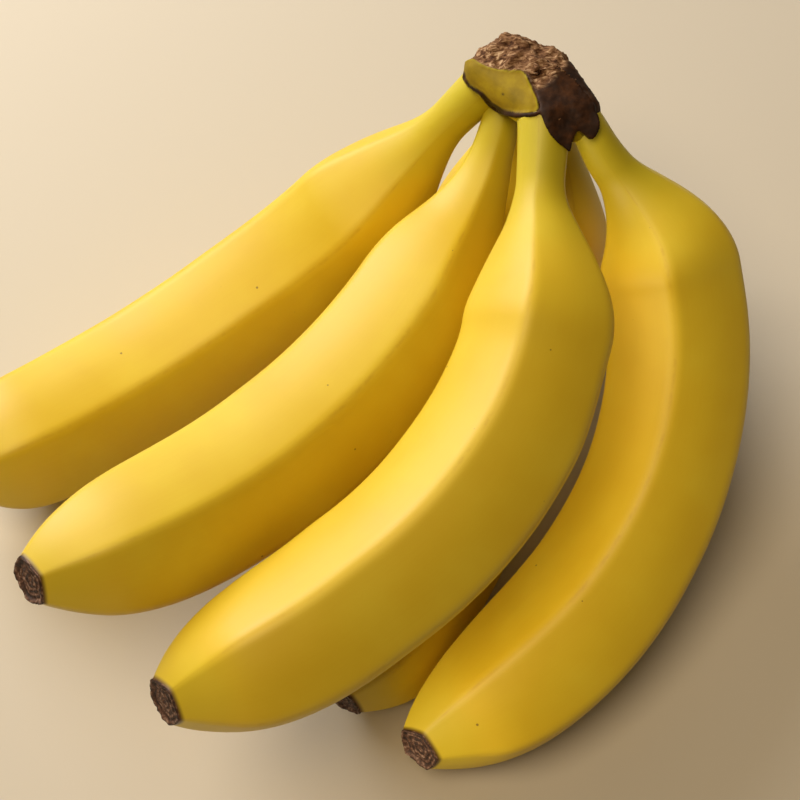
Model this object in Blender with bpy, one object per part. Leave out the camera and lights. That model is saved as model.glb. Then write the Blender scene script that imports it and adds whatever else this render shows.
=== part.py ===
"""A bunch of six bananas lying on its bellies, with the fingers fanned out from one crown."""
import math

import bmesh
import bpy
from mathutils import Vector

MM = 0.001

# Sizes shared by every finger, in millimetres, and places along it as fractions of its length.
NECK_RADIUS = 5.6
SCAR_RADIUS = 6.6
SCAR_RIM = 1.4
SCAR_INSET = 0.7
SHOULDER_START = 0.08
NECK_BEND_END = 0.24
BODY_BEND = (0.12, 0.88)
TIP_BEND_START = 0.80
TIP_STRAIGHTENING = -4.0    # degrees of bend given back near the scar

# A finger's section is a circle drawn in towards a pentagon.
RIDGES = 5
POINTS_PER_RIDGE = 4
RIDGE_SCALE = 1.02
FLATNESS = 0.33
STATIONS = 26

# Crown: balls round the roots of the necks and along the cut pad, wrapped in one skin.
ROOT_BALL = 6.4
PAD_BALL = 5.5
PAD = ((-9, 5, 96), (0, 7, 98), (7, -1, 98), (13, -11, 95), (10, -15, 90), (-6, 0, 86))
BALL_DETAIL = 2
HULL_TIDY = 0.5
NECK_GAP = 0.35

# Each finger: where its neck starts (mm); the compass and downward angles of the neck; the compass
# and upward angles of the tip; the bend spent in the neck (degrees); length and widest radius (mm);
# the end of the shoulder and the start of the taper (fractions); the bluntness of the taper; and
# the angle of one ridge from the inner side at the shoulder and at the tip (degrees).
FINGERS = {
    "banana_1": dict(root=(-8, 5.5, 89.5), neck=(-171, 53), tip=(-146, 13), neck_bend=-5, length=193,
                     girth=18.7, shoulder=0.31, taper=0.85, blunt=3.5, ridge=(-32, -18)),
    "banana_2": dict(root=(-1, 9.5, 78), neck=(-116, 27), tip=(-149, 19), neck_bend=5, length=184,
                     girth=18.7, shoulder=0.34, taper=0.71, blunt=4.0, ridge=(-58, -62)),
    "banana_3": dict(root=(1.5, -11.5, 94.5), neck=(-85, 24), tip=(-157, 2), neck_bend=8, length=181,
                     girth=19.2, shoulder=0.30, taper=0.70, blunt=4.0, ridge=(-63, -66)),
    "banana_4": dict(root=(11.5, -13, 93.8), neck=(-35, 39), tip=(-148, -2), neck_bend=18, length=194,
                     girth=19.0, shoulder=0.24, taper=0.72, blunt=3.1, ridge=(-66, -40)),
    "banana_5": dict(root=(8.5, 5, 83.1), neck=(-76, 60), tip=(-129, -2), neck_bend=20, length=177,
                     girth=14.4, shoulder=0.24, taper=0.85, blunt=3.8, ridge=(-60, -60)),
    "banana_6": dict(root=(3, 19.5, 74.5), neck=(-139, 89), tip=(-121, 19), neck_bend=32, length=161,
                     girth=15.7, shoulder=0.32, taper=0.56, blunt=2.6, ridge=(-60, -60)),
}


def smooth(t):
    """Ease from 0 to 1."""
    t = min(max(t, 0.0), 1.0)
    return t * t * (3.0 - 2.0 * t)


def heading(compass, rise):
    """Unit vector from a compass angle and an upward angle in degrees."""
    compass, rise = math.radians(compass), math.radians(rise)
    return Vector((math.cos(rise) * math.cos(compass), math.cos(rise) * math.sin(compass), math.sin(rise)))


def spine(finger):
    """Points, directions and inner sides along the finger, which bends in one plane."""
    start = heading(finger["neck"][0], -finger["neck"][1])
    finish = heading(*finger["tip"])
    across = start.cross(finish).normalized()
    inward = across.cross(start)
    total = math.degrees(start.angle(finish))
    body_bend = total - finger["neck_bend"] - TIP_STRAIGHTENING
    step = finger["length"] / (STATIONS - 1)
    point = Vector((0, 0, 0))
    points, directions = [], []
    for k in range(STATIONS):
        s = k / (STATIONS - 1)
        bend = finger["neck_bend"] * smooth(s / NECK_BEND_END)
        bend += body_bend * min(max((s - BODY_BEND[0]) / (BODY_BEND[1] - BODY_BEND[0]), 0.0), 1.0)
        bend += TIP_STRAIGHTENING * smooth((s - TIP_BEND_START) / (1.0 - TIP_BEND_START))
        bend = math.radians(bend)
        direction = math.cos(bend) * start + math.sin(bend) * inward
        if directions:
            point = point + (directions[-1] + direction) * step / 2
        points.append(point.copy())
        directions.append(direction)
    return points, directions, across


def radius(finger, s):
    """Radius of the finger at the fraction s of its length."""
    grown = smooth((s - SHOULDER_START) / (finger["shoulder"] - SHOULDER_START))
    body = NECK_RADIUS + (finger["girth"] - NECK_RADIUS) * grown
    end = max((s - finger["taper"]) / (1.0 - finger["taper"]), 0.0)
    return body * (1.0 - (1.0 - SCAR_RADIUS / finger["girth"]) * end ** finger["blunt"])


def ridge_scale(angle):
    """How far out the section lies at this angle from a ridge, as a share of the radius."""
    half = math.pi / RIDGES
    pentagon = math.cos(half) / math.cos(angle % (2 * half) - half)
    return RIDGE_SCALE - FLATNESS * (1.0 - pentagon)


def material(name, colour, roughness):
    """Plain surface in one colour."""
    surface = bpy.data.materials.new(name)
    surface.use_nodes = True
    shader = surface.node_tree.nodes["Principled BSDF"]
    shader.inputs["Base Color"].default_value = (*colour, 1.0)
    shader.inputs["Roughness"].default_value = roughness
    shader.inputs["Metallic"].default_value = 0.0
    return surface


def add_object(name, bm, parent, location, surface):
    """Object made from a bmesh, shaded smooth, at a place in millimetres under its parent."""
    bmesh.ops.recalc_face_normals(bm, faces=bm.faces)
    mesh = bpy.data.meshes.new(name)
    bm.to_mesh(mesh)
    bm.free()
    mesh.shade_smooth()
    mesh.set_sharp_from_angle(angle=math.radians(40))
    mesh.materials.append(surface)
    obj = bpy.data.objects.new(name, mesh)
    bpy.context.scene.collection.objects.link(obj)
    obj.parent = parent
    obj.location = Vector(location) * MM
    return obj


def add_finger(name, finger, parent, surface):
    """One banana: neck, body and the inset scar at its blossom end, flattened where it rests."""
    points, directions, across = spine(finger)
    count = RIDGES * POINTS_PER_RIDGE
    bm = bmesh.new()
    rings = []
    for k, (point, direction) in enumerate(zip(points, directions)):
        s = k / (STATIONS - 1)
        inner = across.cross(direction)
        ridge = math.radians(finger["ridge"][0] + (finger["ridge"][1] - finger["ridge"][0]) * s)
        ring = []
        for n in range(count):
            turn = 2 * math.pi * n / count
            out = radius(finger, s) * ridge_scale(turn)
            side = math.cos(turn + ridge) * inner + math.sin(turn + ridge) * across
            ring.append(bm.verts.new((point + out * side) * MM))
        rings.append(ring)
    for near, far in zip(rings, rings[1:]):
        for n in range(count):
            m = (n + 1) % count
            bm.faces.new((near[n], near[m], far[m], far[n]))
    bm.faces.new(rings[0])
    scar = bm.faces.new(rings[-1])
    bmesh.ops.recalc_face_normals(bm, faces=bm.faces)
    bmesh.ops.inset_individual(bm, faces=[scar], thickness=SCAR_RIM * MM, depth=-SCAR_INSET * MM)
    sole = -finger["root"][2] * MM
    cut = bmesh.ops.bisect_plane(bm, geom=[*bm.verts, *bm.edges, *bm.faces], dist=1e-7,
                                 plane_co=(0, 0, sole), plane_no=(0, 0, -1), clear_outer=True)
    edges = [e for e in cut["geom_cut"] if isinstance(e, bmesh.types.BMEdge)]
    if edges:
        bmesh.ops.holes_fill(bm, edges=edges)
    return add_object(name, bm, parent, finger["root"], surface)


def wrap_balls(balls, swell):
    """Skin stretched over balls, each a centre and a radius in millimetres."""
    bm = bmesh.new()
    for centre, ball_radius in balls:
        made = bmesh.ops.create_icosphere(bm, subdivisions=BALL_DETAIL, radius=(ball_radius + swell) * MM)
        bmesh.ops.translate(bm, verts=made["verts"], vec=Vector(centre) * MM)
    hull = bmesh.ops.convex_hull(bm, input=bm.verts)
    bmesh.ops.delete(bm, geom=[v for v in bm.verts if not v.link_faces], context="VERTS")
    loose = [g for g in hull["geom_interior"] if isinstance(g, bmesh.types.BMVert) and g.is_valid]
    bmesh.ops.delete(bm, geom=loose, context="VERTS")
    inside = [f for f in bm.faces if f not in set(hull["geom"])]
    bmesh.ops.delete(bm, geom=inside, context="FACES")
    bmesh.ops.remove_doubles(bm, verts=bm.verts, dist=HULL_TIDY * MM)
    return bm


def main():
    for obj in list(bpy.data.objects):
        bpy.data.objects.remove(obj, do_unlink=True)
    bunch = bpy.data.objects.new("bunch", None)
    bpy.context.scene.collection.objects.link(bunch)

    skin = material("banana_skin", (0.80, 0.56, 0.05), 0.45)
    cork = material("crown_cork", (0.075, 0.036, 0.020), 0.80)

    balls = [(finger["root"], ROOT_BALL) for finger in FINGERS.values()]
    balls += [(centre, PAD_BALL) for centre in PAD]
    crown = add_object("crown", wrap_balls(balls, 0.0), bunch, (0, 0, 0), cork)
    clearance = add_object("crown_clearance", wrap_balls(balls, NECK_GAP), bunch, (0, 0, 0), cork)
    clearance.hide_render = True
    clearance.display_type = "WIRE"

    fingers = [add_finger(name, finger, bunch, skin) for name, finger in FINGERS.items()]
    for finger in fingers:
        cut = finger.modifiers.new("clear_of_crown", "BOOLEAN")
        cut.operation = "DIFFERENCE"
        cut.solver = "EXACT"
        cut.object = clearance

    corners = [piece.location + v.co for piece in (crown, *fingers) for v in piece.data.vertices]
    middle_x = (min(c.x for c in corners) + max(c.x for c in corners)) / 2
    middle_y = (min(c.y for c in corners) + max(c.y for c in corners)) / 2
    bunch.location = (-middle_x, -middle_y, 0)


main()
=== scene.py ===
import math

import bmesh
import bpy
import numpy as np
from mathutils import Matrix, Vector, noise
from mathutils.bvhtree import BVHTree
from mathutils.geometry import delaunay_2d_cdt


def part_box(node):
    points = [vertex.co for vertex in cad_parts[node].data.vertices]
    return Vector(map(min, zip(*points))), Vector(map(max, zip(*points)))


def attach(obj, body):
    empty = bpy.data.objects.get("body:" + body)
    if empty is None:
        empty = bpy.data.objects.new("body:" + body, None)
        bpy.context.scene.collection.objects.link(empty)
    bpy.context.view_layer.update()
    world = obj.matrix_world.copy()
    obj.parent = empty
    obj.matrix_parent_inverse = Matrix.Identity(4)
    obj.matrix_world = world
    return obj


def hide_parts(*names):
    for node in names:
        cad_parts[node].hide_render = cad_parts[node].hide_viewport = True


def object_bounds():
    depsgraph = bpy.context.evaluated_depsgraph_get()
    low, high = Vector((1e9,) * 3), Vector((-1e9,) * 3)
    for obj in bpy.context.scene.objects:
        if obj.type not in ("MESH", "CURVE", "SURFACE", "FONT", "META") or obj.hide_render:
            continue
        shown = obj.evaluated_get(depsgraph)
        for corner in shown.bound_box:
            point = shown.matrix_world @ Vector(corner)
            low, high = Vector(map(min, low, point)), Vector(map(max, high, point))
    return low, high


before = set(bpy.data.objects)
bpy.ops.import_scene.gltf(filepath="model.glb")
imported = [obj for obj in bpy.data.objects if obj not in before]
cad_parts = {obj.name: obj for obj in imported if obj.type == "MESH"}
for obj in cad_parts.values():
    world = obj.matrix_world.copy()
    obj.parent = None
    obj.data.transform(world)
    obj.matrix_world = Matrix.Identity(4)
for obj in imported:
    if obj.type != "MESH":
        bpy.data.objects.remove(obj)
cadLow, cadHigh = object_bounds()

mm = 0.001

# the crown's lowest corner, measured from the foot of the bunch's stem
crownCorner = Vector((-14.231, -20.5, 68.1)) * mm
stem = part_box("crown")[0] - crownCorner
stemFoot = Vector((stem.x, stem.y, 0))


def hexToLinear(code):
    parts = [int(code[i:i + 2], 16) / 255 for i in (1, 3, 5)]
    return tuple(c / 12.92 if c <= 0.04045 else ((c + 0.055) / 1.055) ** 2.4 for c in parts) + (1.0,)


def addNode(tree, kind, links=None, **settings):
    node = tree.nodes.new(kind)
    for name, value in settings.items():
        setattr(node, name, value)
    for key, value in (links or {}).items():
        socket = node.inputs[key]
        if isinstance(value, bpy.types.Node):
            tree.links.new(value.outputs[0], socket)
        elif isinstance(value, bpy.types.NodeSocket):
            tree.links.new(value, socket)
        else:
            socket.default_value = value
    return node


def setRamp(node, stops):
    ramp = node.color_ramp
    while len(ramp.elements) > 1:
        ramp.elements.remove(ramp.elements[-1])
    ramp.elements[0].position = stops[0][0]
    ramp.elements[0].color = hexToLinear(stops[0][1])
    for place, code in stops[1:]:
        ramp.elements.new(place).color = hexToLinear(code)
    return node


def setCurve(node, points):
    curve = node.mapping.curves[0]
    for place, (x, y) in zip(curve.points, (points[0], points[-1])):
        place.location = (x, y)
    for x, y in points[1:-1]:
        curve.points.new(x, y)
    node.mapping.use_clip = False
    node.mapping.update()
    return node


def newMaterial(name):
    surface = bpy.data.materials.new(name)
    surface.use_nodes = True
    return surface, surface.node_tree, surface.node_tree.nodes["Principled BSDF"]


def linkObject(name, data):
    obj = bpy.data.objects.new(name, data)
    bpy.context.scene.collection.objects.link(obj)
    return obj


def heading(compass, rise):
    compass, rise = math.radians(compass), math.radians(rise)
    return Vector((math.cos(rise) * math.cos(compass), math.cos(rise) * math.sin(compass), math.sin(rise)))


def perMetre(size):
    # a pattern's scale, from its real size in mm
    return 1 / (size * mm)


cameraValues = {
    "place": Vector((-37.0, -246.8, 411.6)) * mm,   # from the foot of the stem
    "down": 63.0, "roll": 5.0,                      # degrees, looking along +Y
    "lens": 72.0, "sensor": 36.0,
    "clip": (0.01, 20.0),
}
cameraTurn = (Matrix.Rotation(math.radians(90 - cameraValues["down"]), 3, "X")
              @ Matrix.Rotation(math.radians(-cameraValues["roll"]), 3, "Z"))
viewRight, viewUp, lookAlong = cameraTurn.col[0].copy(), cameraTurn.col[1].copy(), -cameraTurn.col[2]
eye = stemFoot + cameraValues["place"]


def makeCamera():
    data = bpy.data.cameras.new("mainCamera")
    data.lens = cameraValues["lens"]
    data.sensor_width = cameraValues["sensor"]
    data.clip_start, data.clip_end = cameraValues["clip"]
    camera = linkObject("mainCamera", data)
    camera.matrix_world = Matrix.Translation(eye) @ cameraTurn.to_4x4()
    bpy.context.scene.camera = camera


# each lamp stands far metres, along its way, from the point that it shines at, which is the middle
# of the bunch or aim metres from it
lampValues = {
    "key": dict(way=(-0.52, 0.68, 0.55), far=0.90, size=0.60, power=9.0, tint="#fffcf6"),
    "front": dict(way=(-0.26, -0.18, 0.95), far=1.6, size=0.9, power=14.0, tint="#ffe8c2"),
    "kicker": dict(way=(-0.80, -0.28, 0.50), far=0.26, size=0.16, power=0.40, tint="#fff2d8",
                   aim=(0.025, -0.075, -0.03)),
    "rim": dict(way=(0.30, 0.90, 0.45), far=1.6, size=0.8, power=1.5, tint="#fff6e8"),
}
worldValues = {"tint": "#f6e4c8", "strength": 0.07}
floorValues = {"size": 3.0, "drop": 0.02 * mm, "colour": "#cdc4b5", "roughness": 0.8}


def makeLights():
    middle = (cadLow + cadHigh) / 2
    made = {}
    for name, values in lampValues.items():
        data = bpy.data.lights.new(name, "AREA")
        data.shape = "DISK"
        data.size = values["size"]
        data.energy = values["power"]
        data.color = hexToLinear(values["tint"])[:3]
        lamp = linkObject(name, data)
        way = Vector(values["way"]).normalized()
        lamp.location = middle + Vector(values.get("aim", (0, 0, 0))) + way * values["far"]
        lamp.rotation_euler = (-way).to_track_quat("-Z", "Y").to_euler()
        made[name] = lamp
    world = bpy.data.worlds.new("studio")
    world.use_nodes = True
    bpy.context.scene.world = world
    shade = world.node_tree.nodes["Background"]
    shade.inputs["Color"].default_value = hexToLinear(worldValues["tint"])
    shade.inputs["Strength"].default_value = worldValues["strength"]
    return made


def makeFloor():
    bm = bmesh.new()
    bmesh.ops.create_grid(bm, x_segments=2, y_segments=2, size=floorValues["size"])
    bmesh.ops.translate(bm, verts=bm.verts, vec=(0, 0, -floorValues["drop"]))
    mesh = bpy.data.meshes.new("floor")
    bm.to_mesh(mesh)
    bm.free()
    floor = linkObject("floor", mesh)
    # board rolled with matt paint: pale, with no clear highlight
    surface, _, shader = newMaterial("paintedFloor")
    shader.inputs["Base Color"].default_value = hexToLinear(floorValues["colour"])
    shader.inputs["Roughness"].default_value = floorValues["roughness"]
    mesh.materials.append(surface)


makeCamera()
lamps = makeLights()
makeFloor()
bpy.context.scene.view_settings.view_transform = "Standard"
print("stage ready")


# rows along a finger's skin, rows that close its root and its scar, and columns around it
fingerRows = 250
startRows = 8
endRows = 26
fingerColumns = 120
allRows = startRows + fingerRows + endRows
lastRow = startRows + fingerRows - 1      # the last row of peel
peelEnd = lastRow / (allRows - 1)

# sizes of patterns are in mm
peelValues = {
    "yellow": ((0.30, "#dbb71c"), (0.52, "#dfbe21"), (0.72, "#e3c62a")), "clouds": 26.3,
    "green": "#c0b41e", "greenWander": 14.3,
    "neckGreen": (0.09, 0.28, 0.85),      # where it starts to fade, where it ends, and how much
    "tipGreen": (0.88, 0.99, 0.35),
    "fibre": "#d29a08", "fibres": (170.0, 9.0, 1.0),   # threads around a finger and along it
    "wear": "#a9700c", "wearFrom": 0.465, "wearPatches": 6.25,
    "speck": "#6b430f", "specks": 4.76, "speckShare": 0.82,
    "burn": "#5c3a12", "burnLength": 0.0045,
    "grain": 0.91,
    "roughness": (0.47, 0.56), "ior": 1.45,
    "translucence": 0.06, "glow": (0.8, 0.6, 0.15), "glowDepth": 1.6 * mm,
    "wax": 0.28, "waxRoughness": 0.55,
}


def peelMaterial():
    # ripe banana peel, as it grew: a waxy skin with a broad soft sheen and a little light inside it,
    # clouded yellow, greener at both ends, with brown wear on its ridges and a few sugar specks
    surface, tree, shader = newMaterial("ripeBananaPeel")
    place = addNode(tree, "ShaderNodeTexCoord").outputs["Object"]
    fingerMap = addNode(tree, "ShaderNodeUVMap", uv_map="fingerMap")
    split = addNode(tree, "ShaderNodeSeparateXYZ", {0: fingerMap})
    around, along = split.outputs[0], split.outputs[1]

    clouds = addNode(tree, "ShaderNodeTexNoise", {"Vector": place, "Scale": perMetre(peelValues["clouds"]),
                                                  "Detail": 3.0, "Roughness": 0.5})
    tone = setRamp(addNode(tree, "ShaderNodeValToRGB", {0: clouds}), peelValues["yellow"])

    # green left in the neck and a little at the blossom end
    wander = addNode(tree, "ShaderNodeTexNoise", {"Vector": place, "Detail": 2.0,
                                                  "Scale": perMetre(peelValues["greenWander"])})
    push = addNode(tree, "ShaderNodeMath", {0: wander, 1: 0.10, 2: along}, operation="MULTIPLY_ADD")
    start, end, most = peelValues["neckGreen"]
    neckGreen = addNode(tree, "ShaderNodeMapRange", {0: push, 1: start, 2: end, 3: most, 4: 0.0},
                        interpolation_type="SMOOTHSTEP")
    start, end, most = peelValues["tipGreen"]
    tipGreen = addNode(tree, "ShaderNodeMapRange", {0: push, 1: start, 2: end, 3: 0.0, 4: most},
                       interpolation_type="SMOOTHSTEP")
    green = addNode(tree, "ShaderNodeMath", {0: neckGreen, 1: tipGreen}, operation="ADD", use_clamp=True)
    greened = addNode(tree, "ShaderNodeMix", {0: green, 6: tone, 7: hexToLinear(peelValues["green"])},
                      data_type="RGBA")

    # faint fibres along the finger, about 0.7 mm apart
    stretch = addNode(tree, "ShaderNodeCombineXYZ", {0: around, 1: along})
    scaled = addNode(tree, "ShaderNodeVectorMath", {0: stretch, 1: peelValues["fibres"]},
                     operation="MULTIPLY")
    fibres = addNode(tree, "ShaderNodeTexNoise", {"Vector": scaled, "Scale": 1.0, "Detail": 3.0})
    fibreTone = addNode(tree, "ShaderNodeMapRange", {0: fibres, 1: 0.35, 2: 0.7, 3: 0.0, 4: 0.05})
    fibred = addNode(tree, "ShaderNodeMix", {0: fibreTone, 6: greened.outputs[2],
                                             7: hexToLinear(peelValues["fibre"])}, data_type="RGBA")

    # worn lines on the five ridges, about 1.5 mm wide
    turns = addNode(tree, "ShaderNodeMath", {0: around, 1: 5.0}, operation="MULTIPLY")
    part = addNode(tree, "ShaderNodeMath", {0: turns}, operation="FRACT")
    offset = addNode(tree, "ShaderNodeMath", {0: part, 1: 0.5}, operation="SUBTRACT")
    apart = addNode(tree, "ShaderNodeMath", {0: offset}, operation="ABSOLUTE")
    ridge = addNode(tree, "ShaderNodeMapRange", {0: apart, 1: peelValues["wearFrom"], 2: 0.5},
                    interpolation_type="SMOOTHSTEP")
    patchy = addNode(tree, "ShaderNodeTexNoise", {"Vector": place, "Detail": 4.0, "Roughness": 0.65,
                                                  "Scale": perMetre(peelValues["wearPatches"])})
    worn = addNode(tree, "ShaderNodeMapRange", {0: patchy, 1: 0.50, 2: 0.74, 3: 0.06, 4: 0.34})
    ridgeWear = addNode(tree, "ShaderNodeMath", {0: ridge, 1: worn}, operation="MULTIPLY")
    ridged = addNode(tree, "ShaderNodeMix", {0: ridgeWear, 6: fibred.outputs[2],
                                             7: hexToLinear(peelValues["wear"])}, data_type="RGBA")

    # small brown sugar specks, 0.3 to 0.8 mm wide
    cells = addNode(tree, "ShaderNodeTexVoronoi", {"Vector": place, "Scale": perMetre(peelValues["specks"])})
    size = addNode(tree, "ShaderNodeSeparateColor", {0: cells.outputs["Color"]})
    rare = addNode(tree, "ShaderNodeMapRange", {0: size.outputs[0], 1: peelValues["speckShare"], 2: 1.0,
                                                3: 0.0, 4: 0.08})
    gap = addNode(tree, "ShaderNodeMath", {0: rare, 1: cells.outputs["Distance"]}, operation="SUBTRACT")
    speck = addNode(tree, "ShaderNodeMapRange", {0: gap, 1: -0.01, 2: 0.025, 3: 0.0, 4: 0.75})
    specked = addNode(tree, "ShaderNodeMix", {0: speck, 6: ridged.outputs[2],
                                              7: hexToLinear(peelValues["speck"])}, data_type="RGBA")

    # the skin browns in the last millimetre before the scar
    burn = addNode(tree, "ShaderNodeMapRange", {0: along, 1: peelEnd - peelValues["burnLength"], 2: peelEnd,
                                                3: 0.0, 4: 0.9}, interpolation_type="SMOOTHSTEP")
    burnt = addNode(tree, "ShaderNodeMix", {0: burn, 6: specked.outputs[2],
                                            7: hexToLinear(peelValues["burn"])}, data_type="RGBA")
    tree.links.new(burnt.outputs[2], shader.inputs["Base Color"])

    # the pores are finer than this in life, and are drawn as coarse as they need to show
    grain = addNode(tree, "ShaderNodeTexNoise", {"Vector": place, "Scale": perMetre(peelValues["grain"]),
                                                 "Detail": 2.0})
    relief = addNode(tree, "ShaderNodeMath", {0: fibres, 1: 0.5, 2: grain}, operation="MULTIPLY_ADD")
    bump = addNode(tree, "ShaderNodeBump", {"Strength": 0.06, "Distance": 0.2 * mm, "Height": relief})
    tree.links.new(bump.outputs[0], shader.inputs["Normal"])
    glossy, dull = peelValues["roughness"]
    matt = addNode(tree, "ShaderNodeMapRange", {0: clouds, 1: 0.3, 2: 0.7, 3: glossy, 4: dull})
    tree.links.new(matt.outputs[0], shader.inputs["Roughness"])
    shader.inputs["IOR"].default_value = peelValues["ior"]
    shader.inputs["Subsurface Weight"].default_value = peelValues["translucence"]
    shader.inputs["Subsurface Radius"].default_value = peelValues["glow"]
    shader.inputs["Subsurface Scale"].default_value = peelValues["glowDepth"]
    shader.inputs["Coat Weight"].default_value = peelValues["wax"]
    shader.inputs["Coat Roughness"].default_value = peelValues["waxRoughness"]
    return surface


scarValues = {
    "tone": ((0.34, "#26130a"), (0.50, "#472916"), (0.60, "#644230"), (0.74, "#987a66")),
    "crust": 1.11, "wander": 3.85, "rings": 300.0,   # the rings come to about four across the scar
    "roughness": 0.62,
}


def scarMaterial():
    # the dried scar where the blossom sat: dead, dusty brown tissue with pale crumbs in uneven rings
    surface, tree, shader = newMaterial("driedBlossomScar")
    place = addNode(tree, "ShaderNodeTexCoord").outputs["Object"]
    fingerMap = addNode(tree, "ShaderNodeUVMap", uv_map="fingerMap")
    along = addNode(tree, "ShaderNodeSeparateXYZ", {0: fingerMap}).outputs[1]
    crust = addNode(tree, "ShaderNodeTexNoise", {"Vector": place, "Scale": perMetre(scarValues["crust"]),
                                                 "Detail": 4.0, "Roughness": 0.7})
    shift = addNode(tree, "ShaderNodeTexNoise", {"Vector": place, "Scale": perMetre(scarValues["wander"]),
                                                 "Detail": 2.0})
    bent = addNode(tree, "ShaderNodeMath", {0: shift, 1: 0.035, 2: along}, operation="MULTIPLY_ADD")
    phase = addNode(tree, "ShaderNodeMath", {0: bent, 1: scarValues["rings"]}, operation="MULTIPLY")
    ring = addNode(tree, "ShaderNodeMath", {0: phase}, operation="SINE")
    mixed = addNode(tree, "ShaderNodeMath", {0: ring, 1: 0.12, 2: crust}, operation="MULTIPLY_ADD")
    tone = setRamp(addNode(tree, "ShaderNodeValToRGB", {0: mixed}), scarValues["tone"])
    tree.links.new(tone.outputs[0], shader.inputs["Base Color"])
    bump = addNode(tree, "ShaderNodeBump", {"Strength": 0.6, "Distance": 0.4 * mm, "Height": mixed})
    tree.links.new(bump.outputs[0], shader.inputs["Normal"])
    shader.inputs["Roughness"].default_value = scarValues["roughness"]
    return surface


peel = peelMaterial()
scar = scarMaterial()
print("peel and scar ready")


# what all fingers share: shares run 0 to 1 from the root to the scar
shapeValues = {
    "neckBendEnd": 0.24, "bodyBend": (0.12, 0.88), "tipBendStart": 0.80, "tipBend": -4.0,
    "shoulderStart": 0.08, "leanStart": 0.88,
    "neckRadius": 5.6, "scarRadius": 7.0,    # mm
    "flatness": 0.72, "rounding": 0.18, "flatFrom": (0.02, 0.25),
    "swelling": 35.7, "swellingHeight": 0.6, "crust": 1.43, "crustHeight": 1.2,    # mm
    "restBlend": 0.6, "restBand": 0.8,    # mm, where a belly meets the table
    "rootEnd": ((0, 0), (0.5, 0.8), (1, 1)),
    "scarEnd": ((0, 1), (0.08, 1.01), (0.2, 0.94), (0.3, 0.82), (1, 0)),
    # the scar's rim, dip and shallow rings, in mm
    "scarDepth": ((0, 0.0), (0.08, 0.35), (0.16, 0.55), (0.25, 0.35), (0.33, -0.3), (0.42, -0.1),
                  (0.5, -0.35), (0.6, 0.0), (0.7, -0.25), (0.8, 0.05), (0.9, -0.1), (1, 0.15)),
}

# each finger: its root (mm from the stem), the compass and downward angles of its neck and the compass
# and upward angles of its tip, lengths and radii in mm, and the ridges' turn at the neck and at the tip;
# sideways, swell and forward are how far it strays, as pairs of a share along the finger and mm
fingerValues = {
    "banana_1": dict(
        root=(-8, 5.5, 89.5), neck=(-171, 53), tip=(-146, 13), neckBend=-5, length=193,
        girth=18.7, shoulder=0.31, taper=0.85, blunt=3.5, ridge=(-32, -18), tilt=0, seed=1.3,
        sideways=((0, -0.75), (0.18, 0.75), (0.33, 0), (0.52, 0.25), (0.87, -1), (1, -0.5)),
        swell=((0, 0.5), (0.12, -0.25), (0.8, 0.75), (1, 0))),
    "banana_2": dict(
        root=(-1, 9.5, 78), neck=(-116, 27), tip=(-149, 19), neckBend=5, length=184,
        girth=18.7, shoulder=0.34, taper=0.71, blunt=4.0, ridge=(-58, -62), tilt=0.12, seed=2.1,
        scarRadius=6.8, forward=((0, 11), (0.06, 8), (0.12, 4.5), (0.2, 1), (0.3, 0)),
        sideways=((0, 1.75), (0.06, 0.25), (0.12, 0), (0.25, 1), (0.33, 0), (0.93, -0.75), (1, 0.5)),
        swell=((0, -1.5), (0.06, -0.5), (0.12, 0.25), (0.33, -0.5), (0.62, 0.5), (0.8, -0.25), (1, -0.75))),
    "banana_3": dict(
        root=(1.5, -11.5, 94.5), neck=(-85, 24), tip=(-157, 2), neckBend=8, length=181,
        girth=19.2, shoulder=0.30, taper=0.70, blunt=4.0, ridge=(-63, -66), tilt=0.36, seed=3.7,
        scarRadius=6.4,
        sideways=((0, -2.5), (0.12, 2), (0.18, 1.25), (0.25, -0.75), (0.42, -1.75), (0.72, 0.25),
                  (0.93, -1.5), (1, -1)),
        swell=((0, 1), (0.12, 0.25), (0.18, 0.5), (0.33, -0.75), (0.42, 0.25), (0.52, 0.5), (1, -0.5))),
    "banana_4": dict(
        root=(11.5, -13, 93.8), neck=(-35, 39), tip=(-148, -2), neckBend=18, length=194,
        girth=19.0, shoulder=0.24, taper=0.72, blunt=3.1, ridge=(-66, -40), tilt=0.40, seed=4.4,
        scarRadius=6.4,
        sideways=((0, -2), (0.06, 1), (0.12, 0.75), (0.18, -1), (0.33, -1.25), (0.62, -0.5),
                  (0.8, -1), (0.93, -2), (1, -0.5)),
        swell=((0, -1.25), (0.12, 0.5), (0.25, -1.25), (0.72, 0.5), (0.93, 0.5), (1, -0.5))),
    "banana_5": dict(
        root=(8.5, 5, 83.1), neck=(-76, 60), tip=(-129, -2), neckBend=20, length=177,
        girth=14.4, shoulder=0.24, taper=0.85, blunt=3.8, ridge=(-60, -60), tilt=0.1, seed=5.2,
        sideways=((0, 0.5), (0.42, -0.25), (0.87, -2.75), (0.93, -2.25), (1, -0.25)),
        swell=((0.42, 0), (0.87, 1.25), (0.93, 1), (1, -0.25))),
    "banana_6": dict(
        root=(3, 19.5, 74.5), neck=(-139, 89), tip=(-121, 19), neckBend=32, length=161,
        girth=15.7, shoulder=0.32, taper=0.56, blunt=2.6, ridge=(-60, -60), tilt=0, seed=6.9),
}


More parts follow.
